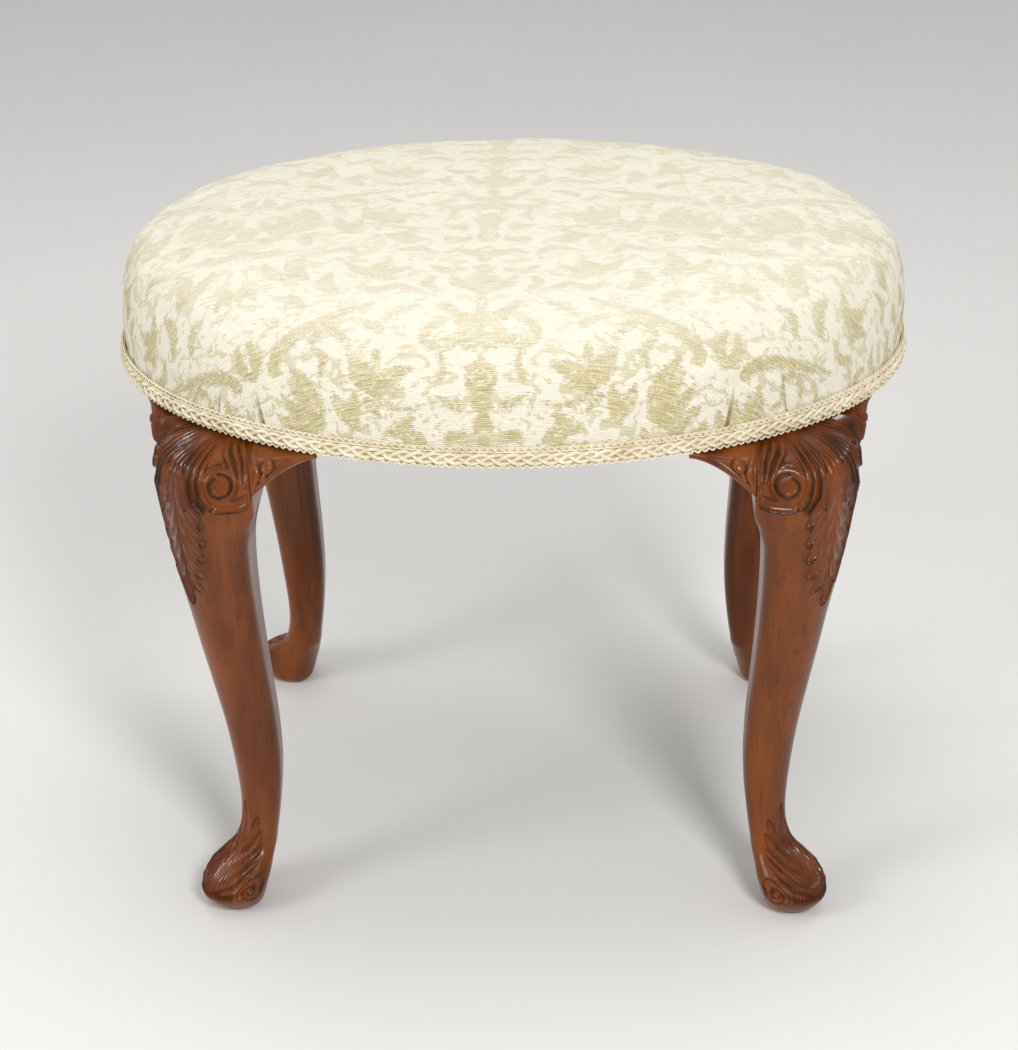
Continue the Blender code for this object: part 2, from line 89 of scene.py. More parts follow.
def smooth_between(x, xs, ys):
    """A smooth curve through the given points, read at x."""
    xs, ys = np.asarray(xs, float), np.asarray(ys, float)
    slope = np.gradient(ys, xs)
    i = np.clip(np.searchsorted(xs, x) - 1, 0, len(xs) - 2)
    span = xs[i + 1] - xs[i]
    t = np.clip((x - xs[i]) / span, 0, 1)
    start = (1 + 2 * t) * (1 - t) ** 2 * ys[i] + t * (1 - t) ** 2 * span * slope[i]
    return start + t * t * (3 - 2 * t) * ys[i + 1] + t * t * (t - 1) * span * slope[i + 1]


def half_section(z):
    """Half of the leg's rounded square section at a height, in mm, from the ridge to the inner corner."""
    inner = smooth_between(z, LEG_HEIGHTS, LEG_INNER)
    outer = smooth_between(z, LEG_HEIGHTS, LEG_OUTER)
    width = outer - inner
    rounds = (ROUND_OUTER, ROUND_SIDE, ROUND_INNER)
    big, side, small = (width * np.interp(z, ROUND_HEIGHTS, share) for share in rounds)
    points = []
    for centre, radius, start, end in (
        ((outer - big, outer - big), big, 45, 90),
        ((inner + side, outer - side), side, 90, 180),
        ((inner + small, inner + small), small, 180, 225),
    ):
        turn = np.radians(np.linspace(start, end, 24))
        points.append(np.stack([centre[0] + radius * np.cos(turn), centre[1] + radius * np.sin(turn)], 1))
    return np.concatenate(points)


def around_section(z, share):
    """Points at a share of the half way round the section, that half's length and its outer face's."""
    line = half_section(z)
    length = np.concatenate([[0], np.cumsum(np.linalg.norm(np.diff(line, axis=0), axis=1))])
    way = np.abs(share) * length[-1]
    u, v = np.interp(way, length, line[:, 0]), np.interp(way, length, line[:, 1])
    return np.where(share >= 0, u, v), np.where(share >= 0, v, u), length[-1], length[len(line) // 2]


def spline(points, count=28):
    """A smooth row of points through the given ones."""
    points = np.asarray(points, float)
    along = np.linspace(0, len(points) - 1, count)
    knots = np.arange(len(points))
    return np.stack([smooth_between(along, knots, points[:, k]) for k in range(points.shape[1])], 1)


def stroke(height, s, z, path, widths, rise, base=0.0, power=0.6):
    """Raises a rounded strand along a path, as the gouge leaves it. Where strands cross, the higher shows."""
    path = spline(path) if len(path) > 2 else np.asarray(path, float)
    widths = np.interp(np.linspace(0, 1, len(path)), np.linspace(0, 1, len(widths)), widths)
    low, high = path.min(0) - widths.max(), path.max(0) + widths.max()
    near = (s > low[0]) & (s < high[0]) & (z > low[1]) & (z < high[1])
    if not near.any():
        return
    p = np.stack([s[near], z[near]], 1)
    best = np.full(len(p), -1.0)
    for a, b, wa, wb in zip(path[:-1], path[1:], widths[:-1], widths[1:]):
        run = b - a
        t = np.clip(((p - a) @ run) / max(run @ run, 1e-9), 0, 1)
        away = np.linalg.norm(p - a - t[:, None] * run, axis=1) / (wa + (wb - wa) * t)
        best = np.maximum(best, 1 - away**2)
    lift = np.where(best > 0, base + rise * np.clip(best, 0, 1) ** power, -99)
    height[near] = np.maximum(height[near], lift)


def arc(centre, radius, start, end, count=16):
    turn = np.radians(np.linspace(start, end, count))
    radius = np.linspace(*radius, count) if isinstance(radius, tuple) else radius
    return np.stack([centre[0] + radius * np.cos(turn), centre[1] + radius * np.sin(turn)], 1)


def reeds(height, s, t, path, width, rise, base):
    """A strand with a fine groove down its middle."""
    line = spline(path)
    run = np.gradient(line, axis=0)
    side = np.stack([-run[:, 1], run[:, 0]], 1) / np.linalg.norm(run, axis=1)[:, None]
    share = np.linspace(0, 1, len(line))
    part = width * 0.48 * np.clip(np.minimum(share / 0.25 + 0.5, (1 - share) / 0.3), 0, 1)
    for offset in (-1, 1):
        strand = line + side * (offset * part)[:, None]
        stroke(height, s, t, strand[::3], [width * 0.5, width * 0.62, width * 0.6, width * 0.42], rise, base)


def cut_groove(height, s, t, path, width, depth):
    """Cuts a V along a path."""
    cut = np.zeros_like(height)
    stroke(cut, s, t, path, [width, width], depth, 0.0, 0.8)
    height -= cut


def carve_knee(height, s, t):
    """The hanging leaf, the scroll beside it and the strands round the scroll, on one half of the knee."""
    height += 1.2 * np.clip((t - 340) / 14, 0, 1)
    stroke(height, s, t, [(40, 352), (50, 355), (59, 361), (70, 368)], [15, 17, 20, 24], 0.6, 1.6, 0.25)
    for root, bend, sweep, tip, width in (
        ((1.5, 284), (2.5, 272), (3.0, 264), (2.2, 255), 3.0),
        ((2.0, 300), (4.0, 285), (8.0, 275), (12.6, 268), 4.6),
        ((2.5, 314), (5.0, 299), (11.0, 288), (17.2, 280), 5.6),
        ((3.0, 328), (6.0, 313), (13.0, 302), (20.0, 294), 6.2),
        ((3.5, 342), (7.0, 327), (14.0, 316), (21.8, 307), 6.4),
        ((4.0, 358), (8.0, 342), (15.0, 331), (23.4, 321), 6.6),
    ):
        reeds(height, s, t, [root, bend, sweep, tip], width, 2.5, 0.4 + (tip[1] - 255) / 80)
    for path in (
        [(3.8, 396), (4.6, 376), (5.4, 357), (6.0, 343), (10.0, 331)],
        [(10.8, 396), (11.4, 376), (12.2, 359), (12.8, 346), (15.6, 336), (21.5, 329)],
        [(17.8, 396), (18.0, 376), (18.6, 361), (19.4, 349), (21.6, 340), (27.0, 332)],
        [(24.6, 396), (24.4, 378), (24.4, 364), (25.4, 352), (27.8, 343), (32.0, 336)],
    ):
        stroke(height, s, t, path, [2.0, 2.5, 2.8, 2.8, 2.5, 1.4], 3.6, 0.9, 0.6)
    for path, width in (
        ([(30, 390), (36, 380), (44, 370), (51, 357)], 2.5),
        ([(34, 397), (42, 384), (50.5, 371), (55, 353)], 2.7),
        ([(42, 399), (49, 386), (56, 371), (58.2, 349)], 2.6),
        ([(51, 400), (57, 386), (61.4, 371), (61.4, 348)], 2.4),
    ):
        stroke(height, s, t, path, [width * 0.6, width * 0.85, width * 0.85, width * 0.4], 2.3, 1.9, 0.7)
    stroke(height, s, t, [(0, 396), (0, 340), (0, 300), (0, 254)], [2.2, 2.6, 2.6, 1.2], 2.8, 1.5)
    lower_band = [(38, 337.5), (50, 338.5), (57, 342), (63, 346.5)]
    stroke(height, s, t, lower_band, [4.8, 4.4, 4.0, 3.6], 3.2, 0.8, 0.6)
    scroll = arc(VOLUTE, (13.6, 10.0), 292, -75, 60)
    stroke(height, s, t, scroll, [4.4, 4.2, 3.8, 3.2, 2.2], 2.4, 1.3, 0.7)
    stroke(height, s, t, arc(VOLUTE, 1e-3, 0, 90, 2), [8.8, 8.8], 1.3, 1.3, 0.7)
    cut_groove(height, s, t, arc(VOLUTE, (9.2, 6.4), 100, -232, 40), 1.5, 2.3)
    cut_groove(height, s, t, [(9.6, 334), (10.8, 329)], 1.2, 2.0)


def carve_toe(height, s, t):
    """The leaf laid over the rolled toe and the small scroll beside it, on one half of the foot."""
    stroke(height, s, t, [(0, 30), (0, 50), (0, 64), (0, 80)], [10, 7.5, 4.5, 0.9], 1.0, 0.3, 0.6)
    for root, tip, width in (
        ((1, 46), (10.0, 66), 4.0),
        ((3, 38), (13.5, 55), 4.0),
        ((5, 31), (17.5, 45.5), 3.6),
        ((8, 26), (22.0, 38.5), 3.2),
        ((12, 22), (26.0, 31), 3.0),
    ):
        bend = ((root[0] + tip[0]) / 2 + 1.6, (root[1] + tip[1]) / 2 - 2.0)
        stroke(height, s, t, [root, bend, tip], [width * 0.6, width, width * 0.8, width * 0.5], 1.8, 0.2, 0.7)
    stroke(height, s, t, [(0, 79), (0, 60), (0, 40)], [0.7, 1.3, 1.8], 1.5, 0.6)
    flutes = 8
    for i in range(flutes):
        path = [(0.9 + 1.1 * i, 53), (1.1 + 2.0 * i, 38), (1.2 + 2.5 * i, 29), (1.3 + 2.7 * i, 16)]
        stroke(height, s, t, path, [0.5, 1.0, 1.3, 1.2, 0.5], 2.4, 0.1, 0.8)
    scroll = (34.0, 22.0)
    stroke(height, s, t, arc(scroll, (8.4, 3.0), 200, -250, 40), [2.3, 2.0, 1.5], 2.6, 0.3, 0.7)
    stroke(height, s, t, arc(scroll, 1e-3, 0, 90, 2), [2.4, 2.4], 2.2, 0.4, 0.7)


def shaped_from_grid(name, columns, rows, place):
    """A grid of faces whose points the place function moves, with its edges merged where they meet."""
    shape = bmesh.new()
    bmesh.ops.create_grid(shape, x_segments=columns, y_segments=rows, size=0.5)
    mesh = bpy.data.meshes.new(name)
    shape.to_mesh(mesh)
    flat = np.empty(len(mesh.vertices) * 3)
    mesh.vertices.foreach_get("co", flat)
    flat = flat.reshape(-1, 3)
    points, marks = place(flat[:, 0] * 2, flat[:, 1] + 0.5)
    mesh.vertices.foreach_set("co", points.astype(np.float32).ravel())
    for mark, values in marks.items():
        mesh.attributes.new(mark, "FLOAT", "POINT").data.foreach_set("value", values.astype(np.float32))
    shape.clear()
    shape.from_mesh(mesh)
    bmesh.ops.remove_doubles(shape, verts=shape.verts, dist=1e-6)
    shape.to_mesh(mesh)
    shape.free()
    return mesh


def closed_ends(mesh):
    """The mesh with its open ends filled and its faces pointing outwards."""
    shape = bmesh.new()
    shape.from_mesh(mesh)
    bmesh.ops.holes_fill(shape, edges=[e for e in shape.edges if e.is_boundary], sides=0)
    bmesh.ops.recalc_face_normals(shape, faces=shape.faces)
    shape.to_mesh(mesh)
    shape.free()
    return mesh


def softened(height, rows, times):
    """The carved heights with each point drawn towards its neighbours, as scraping and sanding leave them."""
    grid = height.reshape(rows + 1, -1)
    for _ in range(times):
        tall = np.pad(grid, ((1, 1), (0, 0)), mode="edge")
        grid = (tall[:-2] + tall[2:] + np.roll(grid, 1, 1) + np.roll(grid, -1, 1) + 2 * grid) / 6
    return grid.ravel()


def hollows(height, rows):
    """How far each point lies below the mean of its neighbours, in mm, where stain and polish gather."""
    return softened(height, rows, 20) - height


LEG_ROWS, LEG_COLUMNS = 390, 252
KNEE = 345.0
FACE_SHARE = 6 / 7


def leg_surface(across, up):
    """Places the grid's points on the carved leg of the quarter where X and Y are positive."""
    aside = np.abs(across)
    on_face = aside <= FACE_SHARE + 1e-6
    z = np.interp(up, [0, 0.27, 0.35, 0.93, 0.97, 1], [0, 86, 244, 366, LEG_TOP, POST_TOP])
    heights = np.linspace(KNEE, LEG_TOP, 60)
    lean = np.diff(smooth_between(heights, LEG_HEIGHTS, LEG_OUTER))
    climb = KNEE + np.concatenate([[0], np.cumsum(np.hypot(np.diff(heights), lean))])
    t = np.where(z > KNEE, np.interp(z, heights, climb), z)
    knee_length = around_section(KNEE, np.zeros(1))[3]
    u, v, s, nu, nv, nz = (np.zeros_like(z) for _ in range(6))
    for level in np.unique(z):
        ring = z == level
        _, _, length, face = around_section(level, np.zeros(1))
        q = np.sign(across[ring]) * np.interp(aside[ring], [0, FACE_SHARE, 1], [0, face / length, 1])
        u[ring], v[ring] = around_section(level, q)[:2]
        s[ring] = aside[ring] / FACE_SHARE * (knee_length if level > KNEE else face)
        edge = np.where(on_face[ring], face / length, 1)
        ahead = around_section(level, np.clip(q + 0.004, -edge, edge))
        behind = around_section(level, np.clip(q - 0.004, -edge, edge))
        top, low = min(level + 0.5, POST_TOP), max(level - 0.5, 0)
        above, below = around_section(top, q), around_section(low, q)
        along = np.stack([behind[0] - ahead[0], behind[1] - ahead[1], np.zeros_like(q)], 1)
        rise = np.stack([above[0] - below[0], above[1] - below[1], np.full_like(q, top - low)], 1)
        normal = np.cross(along, rise)
        normal /= np.linalg.norm(normal, axis=1)[:, None]
        nu[ring], nv[ring], nz[ring] = normal.T
    height = np.zeros_like(z)
    knee, toe = (z > 245) & (z < LEG_TOP), z < 86
    for part, carve in ((knee, carve_knee), (toe, carve_toe)):
        relief = height[part]
        carve(relief, s[part], t[part])
        height[part] = relief
    height = np.clip(height, -2.5, np.where(knee, 2 + 0.4 * np.clip(knee_length - s, 0, 12), 7))
    corner = np.maximum(np.clip((knee_length - s) / 3, 0, 1) ** 0.5, np.clip((t - 350) / 8, 0, 1))
    height *= np.clip((373.4 - z) / 5, 0, 1) * np.clip(z / 5, 0, 1) * on_face * np.where(knee, corner, 1)
    height = softened(height, LEG_ROWS, 1) * on_face
    points = np.stack([u + nu * height, v + nv * height, z + nz * height], 1) * MM
    points[:, 0] += FOOT_X
    points[:, 1] += FOOT_Y
    return points, {"hollow": hollows(height, LEG_ROWS)}


def in_corner(mesh, name, side):
    """A copy of a mesh turned from the quarter with positive X and Y into another corner."""
    shape = bmesh.new()
    shape.from_mesh(mesh)
    bmesh.ops.transform(shape, matrix=Matrix.Diagonal((*side, 1, 1)), verts=shape.verts)
    if side[0] * side[1] < 0:
        bmesh.ops.reverse_faces(shape, faces=shape.faces)
    copy = bpy.data.meshes.new(name)
    shape.to_mesh(copy)
    shape.free()
    copy.shade_smooth()
    return copy


def add_piece(name, mesh, material, slot, *stands_for):
    piece = bpy.data.objects.new(name, mesh)
    bpy.context.scene.collection.objects.link(piece)
    mesh.materials.clear()
    mesh.materials.append(material)
    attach(piece, "root")
    if stands_for:
        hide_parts(*stands_for)
    return piece


class Value:
    """A shader socket that takes part in sums, so that an expression adds its own Math nodes."""

    def __init__(self, tree, socket):
        self.tree, self.socket = tree, socket

    def node(self, kind, settings=None, out=0, **inputs):
        """Any other node: its type, its settings and what feeds its sockets, by name or as in0, in1."""
        made = self.tree.nodes.new(kind)
        for key, value in (settings or {}).items():
            if key == "stops":
                for i, (place, colour) in enumerate(value):
                    stop = made.color_ramp.elements[i] if i < 2 else made.color_ramp.elements.new(place)
                    stop.position, stop.color = place, (*colour, 1)
            else:
                setattr(made, key, value)
        for key, value in inputs.items():
            place = int(key[2:]) if key.startswith("in") and key[2:].isdigit() else key.replace("_", " ")
            if isinstance(value, Value):
                self.tree.links.new(value.socket, made.inputs[place])
            else:
                made.inputs[place].default_value = value
        return Value(self.tree, made.outputs[out])

    def maths(self, operation, *others):
        inputs = {f"in{i}": value for i, value in enumerate((self, *others))}
        return self.node("ShaderNodeMath", {"operation": operation}, **inputs)

    def __add__(self, other):
        return self.maths("ADD", other)

    def __sub__(self, other):
        return self.maths("SUBTRACT", other)

    def __mul__(self, other):
        return self.maths("MULTIPLY", other)

    def __rsub__(self, other):
        return (self * -1) + other

    __radd__ = __add__
    __rmul__ = __mul__

    def between(self, low, high):
        """0 below low and 1 above high, with a smooth rise."""
        rise = {"interpolation_type": "SMOOTHSTEP"}
        return self.node("ShaderNodeMapRange", rise, Value=self, From_Min=low, From_Max=high)

    def blend(self, first, second):
        """A colour that goes from the first to the second as this value goes from 0 to 1."""
        colours = {"in6": first if isinstance(first, Value) else (*first, 1)}
        colours["in7"] = second if isinstance(second, Value) else (*second, 1)
        return self.node("ShaderNodeMix", {"data_type": "RGBA"}, 2, in0=self, **colours)


def new_finish(name):
    """A new material and its start: the Principled shader's inputs and the piece's own coordinates."""
    material = bpy.data.materials.new(name)
    material.use_nodes = True
    tree = material.node_tree
    shader = tree.nodes["Principled BSDF"].inputs
    place = Value(tree, tree.nodes.new("ShaderNodeTexCoord").outputs["Object"])
    return material, shader, place


def feed(value, socket):
    value.tree.links.new(value.socket, socket)


def stretched(place, x, y, z):
    return place.node("ShaderNodeMapping", Vector=place, Scale=(x, y, z))


def noise(place, scale, detail=3.0, roughness=0.55):
    return place.node("ShaderNodeTexNoise", Vector=place, Scale=scale, Detail=detail, Roughness=roughness)


def mark(place, name):
    return place.node("ShaderNodeAttribute", {"attribute_name": name}, 2)


def bump(place, height, strength, distance):
    return place.node("ShaderNodeBump", Height=height, Strength=strength, Distance=distance)


walnut, shader, place = new_finish("polished_walnut")
figure = noise(stretched(place, 26, 26, 3.2), 1.6, 4.0)
pores = noise(stretched(place, 420, 420, 16), 1.0, 2.0)
tone = figure.between(0.32, 0.68)
wood = tone.blend((0.098, 0.0215, 0.0026), (0.200, 0.0500, 0.0060))
wood = (pores.between(0.56, 0.72) * 0.4).blend(wood, (0.032, 0.010, 0.0035))
hollow = mark(place, "hollow")
wood = (hollow.between(0.1, 0.9) * 0.92).blend(wood, (0.0085, 0.0032, 0.0016))
wood = ((hollow * -1).between(0.25, 1.1) * 0.35).blend(wood, (0.255, 0.080, 0.0140))
feed(wood, shader["Base Color"])
feed(0.26 + pores * 0.06 + hollow.between(0.1, 1.0) * 0.25, shader["Roughness"])
feed(bump(place, pores, 0.05, 0.0004), shader["Normal"])
shader["Coat Weight"].default_value = 0.2
shader["Coat Roughness"].default_value = 0.12
shader["Specular IOR Level"].default_value = 0.2

CORNERS = {"front_left": (-1, -1), "front_right": (1, -1), "rear_left": (-1, 1), "rear_right": (1, 1)}
carved_leg = closed_ends(shaped_from_grid("carved_leg", LEG_COLUMNS, LEG_ROWS, leg_surface))
for corner, side in CORNERS.items():
    name = "carved_leg_" + corner
    add_piece(name, in_corner(carved_leg, name, side), walnut, "walnut", "leg_" + corner)


# The eight ears. They are walnut brackets glued beside each knee under the rails; the knee's strands run on
# over their faces, which lean back to the edge of the seat and end in a small bud and a plain tip.

EAR_TOP = 372.7
EAR_DEPTH_AT_LEG, EAR_TIP_DEPTH, EAR_THICKNESS, EAR_TOP_LEAN = 30.0, 5.0, 25.0, 18.0
KNEE_FACE = 42.0 - 4.0
SEAT_LENGTH, SEAT_DEPTH = 277.5, 216.5
POST = 32.0
EAR_ROWS = 80


def ear_section(share, start_face, tip_face):
    """The outline across the ear, in mm outward and up, from the back of its top to its underside."""
    face = start_face + (tip_face - start_face) * share
    low = EAR_TOP - EAR_TIP_DEPTH - (EAR_DEPTH_AT_LEG - EAR_TIP_DEPTH) * (1 - share) ** 1.6
    deep = EAR_TOP - low
    edge = face - (1 - share) * EAR_TOP_LEAN
    front = [(edge, EAR_TOP), (face - (face - edge) * 0.28, EAR_TOP - deep * 0.2)]
    front += [(face, EAR_TOP - deep * 0.5), (face - 0.4, EAR_TOP - deep * 0.75), (face - 3.5, low)]
    front = spline(front, 40)
    back = face - EAR_THICKNESS
    return np.concatenate([[(back, EAR_TOP)], front, [(back, low), (back, EAR_TOP)]])


def carve_ear(height, along, z, length):
    """The scroll's ground running out along the ear, the lower moulding, a strand and a bud."""
    share = along / length
    low = EAR_TOP - EAR_TIP_DEPTH - (EAR_DEPTH_AT_LEG - EAR_TIP_DEPTH) * (1 - share) ** 1.6
    height += 4.6 * np.clip(1 - share * 1.15, 0, 1) ** 1.6 * np.clip((z - low) / 1.2, 0, 1)
    moulding = np.clip(1 - ((z - low - 3.6) / 3.4) ** 2, 0, 1) ** 0.4
    height += 2.0 * moulding * np.clip(share / 0.2, 0, 1) * np.clip(1 - share * 1.3, 0, 1)
    reach = length / 43
    strand = [(2 * reach, 352), (4.5 * reach, 361), (2 * reach, 370)]
    stroke(height, along, z, strand, [1.0, 2.2, 1.6], 1.8, 4.0)
    stroke(height, along, z, [(10.5 * reach, 364.5), (12 * reach, 366)], [3.7, 3.7], 3.2, 2.8)
    stroke(height, along, z, [(7.5 * reach, 357), (9 * reach, 360.5)], [2.0, 1.6], 2.0, 3.2)


def ear_mesh(name, along_x):
    """An ear in the quarter where X and Y are positive."""
    foot = (FOOT_X, FOOT_Y) if along_x else (FOOT_Y, FOOT_X)
    half = (SEAT_LENGTH, SEAT_DEPTH) if along_x else (SEAT_DEPTH, SEAT_LENGTH)
    length = 43.0 if along_x else 33.0
    start = foot[0] / MM - POST - 0.1
    tip_face = half[1] * math.sqrt(1 - ((start - length) / half[0]) ** 2) - 2.0
    start_face = foot[1] / MM + KNEE_FACE

    def place(across, up):
        out, z = np.zeros_like(up), np.zeros_like(up)
        turn = (across + 1) / 2
        for share in np.unique(up):
            row = up == share
            line = ear_section(share, start_face, tip_face)
            length_so_far = np.concatenate([[0], np.cumsum(np.linalg.norm(np.diff(line, axis=0), axis=1))])
            front = np.array([length_so_far[1], length_so_far[40]])
            way = np.interp(turn[row], [0, 0.12, 0.78, 1], [0, front[0], front[1], length_so_far[-1]])
            out[row] = np.interp(way, length_so_far, line[:, 0])
            z[row] = np.interp(way, length_so_far, line[:, 1])
        height = np.zeros_like(up)
        carve_ear(height, up * length, z, length)
        height *= ((turn > 0.13) & (turn < 0.77)) * np.clip((EAR_TOP - z) / 3, 0, 1)
        along = start - up * length
        out = out + height
        points = np.stack([along, out, z], 1) if along_x else np.stack([out, along, z], 1)
        return points * MM, {"hollow": hollows(height, EAR_ROWS)}

    mesh = shaped_from_grid(name, 110, EAR_ROWS, place)
    return closed_ends(mesh)


ears = {"long": ear_mesh("carved_ear_long", True), "end": ear_mesh("carved_ear_end", False)}
for corner, side in CORNERS.items():
    for where, ear in ears.items():
        name = f"carved_ear_{corner}_{where}"
        add_piece(name, in_corner(ear, name, side), walnut, "walnut", f"knee_ear_{corner}_{where}")


# The hidden seat frame: beech rails, glue blocks and dowels, and the steel screws of the corner blocks.
# They are the CAD's own solids with planed, unpolished wood and plain drawn steel on them.

beech, shader, place = new_finish("planed_beech")
grain = noise(stretched(place, 30, 30, 30), 2.0, 4.0)
flecks = noise(stretched(place, 500, 500, 90), 1.0, 2.0)
wood = grain.between(0.3, 0.7).blend((0.46, 0.31, 0.17), (0.60, 0.43, 0.26))
feed((flecks.between(0.6, 0.75) * 0.5).blend(wood, (0.33, 0.20, 0.11)), shader["Base Color"])
feed(0.55 + grain * 0.15, shader["Roughness"])
feed(bump(place, flecks, 0.15, 0.0003), shader["Normal"])

steel, shader, place = new_finish("drawn_steel")
scratches = noise(stretched(place, 900, 900, 120), 1.0, 2.0)
feed(scratches.between(0.3, 0.8).blend((0.34, 0.32, 0.30), (0.52, 0.50, 0.47)), shader["Base Color"])
feed(0.32 + scratches * 0.2, shader["Roughness"])
shader["Metallic"].default_value = 1.0

for name, node in frame["nodes"].items():
    if name.startswith(("rail_", "corner_block_", "dowel_", "corner_screw_")):
        node.data.materials.clear()
        node.data.materials.append(steel if name.startswith("corner_screw_") else beech)


# The webbing: jute straps tacked across the top of the rails and interlaced, each strap rising over every
# second one that it crosses. They carry the hessian and the stuffing.

STRAP_THICKNESS = 0.0016


def strap_mesh(name, node):
    """A woven strap on the path of its CAD solid: level on the rails, raised where it crosses another."""
    low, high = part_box(node)
    along_x = node.startswith("web_long")
    lengthwise, crosswise = (0, 1) if along_x else (1, 0)
    solid = np.array([v.co for v in frame["nodes"][node].data.vertices])
    stops = np.unique(np.round(solid[:, lengthwise], 5))
    lift = [solid[np.abs(solid[:, lengthwise] - stop) < 2e-5, 2].min() for stop in stops]

    def place(across, up):
        points = np.zeros((len(up), 3))
        way = low[lengthwise] + up * (high[lengthwise] - low[lengthwise])
        points[:, lengthwise] = way
        middle, width = (low[crosswise] + high[crosswise]) / 2, high[crosswise] - low[crosswise]
        points[:, crosswise] = middle + across / 2 * width
        points[:, 2] = np.interp(way, stops, lift) + STRAP_THICKNESS / 2
        return points, {"weft": way * 1000, "warp": points[:, crosswise] * 1000}

    mesh = shaped_from_grid(name, 16, 120, place)
    shape = bmesh.new()
    shape.from_mesh(mesh)
    bmesh.ops.solidify(shape, geom=shape.faces[:], thickness=STRAP_THICKNESS)
    bmesh.ops.translate(shape, verts=shape.verts, vec=(0, 0, low.z - min(v.co.z for v in shape.verts)))
    bmesh.ops.recalc_face_normals(shape, faces=shape.faces)
    shape.to_mesh(mesh)
    shape.free()
    return mesh


def woven(weft, warp, pitch):
    """The height of a plain weave, from 0 to 1, from two distances on the cloth in mm."""
    over = (weft * (math.pi / pitch)).maths("SINE") * (warp * (math.pi / pitch)).maths("SINE")
    return over * 0.5 + 0.5


jute, shader, place = new_finish("jute_webbing")
weave = woven(mark(place, "weft"), mark(place, "warp"), 1.6)
fibre = noise(place, 700, 3.0)
strength = (weave * 0.6 + fibre * 0.4).between(0.2, 0.8)
feed(strength.blend((0.26, 0.17, 0.08), (0.50, 0.37, 0.21)), shader["Base Color"])
shader["Roughness"].default_value = 0.92
feed(bump(place, weave + fibre * 0.4, 0.5, 0.0006), shader["Normal"])
for node in sorted(frame["nodes"]):
    if node.startswith("web_"):
        add_piece("jute_" + node, strap_mesh("jute_" + node, node), jute, "jute_web", node)


# The stuffed seat: hair and wadding on the webbing under a damask cover, pulled over the rails and tacked.
# The cover is a cream ribbed ground with a mirrored pattern of urns, scrolls and leaves in gold weft,
# drawn tight over a rounded shoulder, with short tucks over the legs where the oval takes up the cloth.

SEAT_INSETS = [2.0, 0.8, 0.0, 2.0, 7.0, 16.5, 33.0, 65.0, 115.0, 175.0, SEAT_DEPTH]
SEAT_HEIGHTS = [373.5, 390.0, 410.0, 430.0, 450.0, 462.5, 469.0, 473.2, 476.0, 477.0, 477.1]
LINING_INSET, LINING_HEIGHT = 3.6, 433.6
SEAT_COLUMNS, SEAT_ROWS = 880, 210


def seat_profile():
    """The line from the middle of the seat's underside out, down, round the edge and up to the crown."""
    outside = spline(np.stack([SEAT_INSETS, SEAT_HEIGHTS], 1), 200)
    lining = [(SEAT_DEPTH, LINING_HEIGHT), (80, LINING_HEIGHT), (12, LINING_HEIGHT)]
    lining.append((LINING_INSET, LINING_HEIGHT - 6))
    hem = [(LINING_INSET, 380.0), (LINING_INSET - 0.4, 373.7)]
    return np.concatenate([lining, hem, outside]), len(lining) + len(hem)


PATTERN_HALF_WIDTH, PATTERN_HEIGHT, PATTERN_MIDDLE = 165.0, 196.0, -12.0
FLOWER_AND_POTS = [
    ([(0, 56), (0, 52)], [2.5, 4.5]),
    ([(0, 49), (0, 45), (0, 39)], [8, 11, 7.5]),
    ([(0, 39), (0, 33), (0, 29)], [7.5, 6.5, 7.5]),
    ([(0, 19), (0, 12), (0, 4)], [5, 7.5, 5.5]),
    ([(15, 6), (25, 6.5)], [4.2, 4.6]),
    ([(13, 8), (13, 15)], [1.6, 1.0]),
    ([(31, 35), (25, 32), (18, 28.5)], [1.0, 2.4, 4.4]),
    ([(27, 63), (25, 53), (29, 44)], [2.2, 2.2, 1.6]),
]
SCROLLS_AND_LILY = [
    ([(27, 85), (33, 83), (36, 77), (33, 71), (23, 69), (14, 72), (8, 78)], [3, 3.4, 3.6, 4.2, 5, 4.2, 2]),
    ([(0, 79), (0, 71)], [3.4, 4.6]),
    ([(0, 74), (6, 69), (10, 64)], [5, 4.4, 2]),
    ([(0, 89), (7, 88), (14, 87)], [5.4, 5, 3.4]),
    ([(12, 92), (19, 96), (23, 103)], [2.6, 4.2, 2.4]),
    ([(0, 97), (0, 104)], [3, 4.5]),
]
BIG_LEAF_AND_BRANCH = [
    ([(72, 44), (80, 55), (88, 69)], [6, 8.5, 1.6]),
    ([(72, 47), (70, 58), (69, 68)], [6, 3.2, 2.6]),
    ([(72, 46), (60, 52), (46, 55)], [7, 6, 1.6]),
    ([(68, 44), (60, 42)], [4.5, 3]),
    ([(72, 44), (73, 38)], [2.6, 2]),
    ([(80, 35), (70, 34), (60, 30), (50, 29), (40, 31)], [1.2, 1.6, 2, 1.8, 0.8]),
    ([(82, 37), (78, 33)], [3.4, 2.6]),
    ([(76, 30), (75, 26)], [2.6, 2]),
    ([(53, 29), (51, 22)], [1.4, 2.2]),
    ([(52, 23), (57, 15), (53, 4)], [1.6, 6.4, 6]),
    ([(57, 14), (67, 14), (76, 13)], [5, 4, 1]),
    ([(50, 10), (46, 5)], [4, 3]),
]
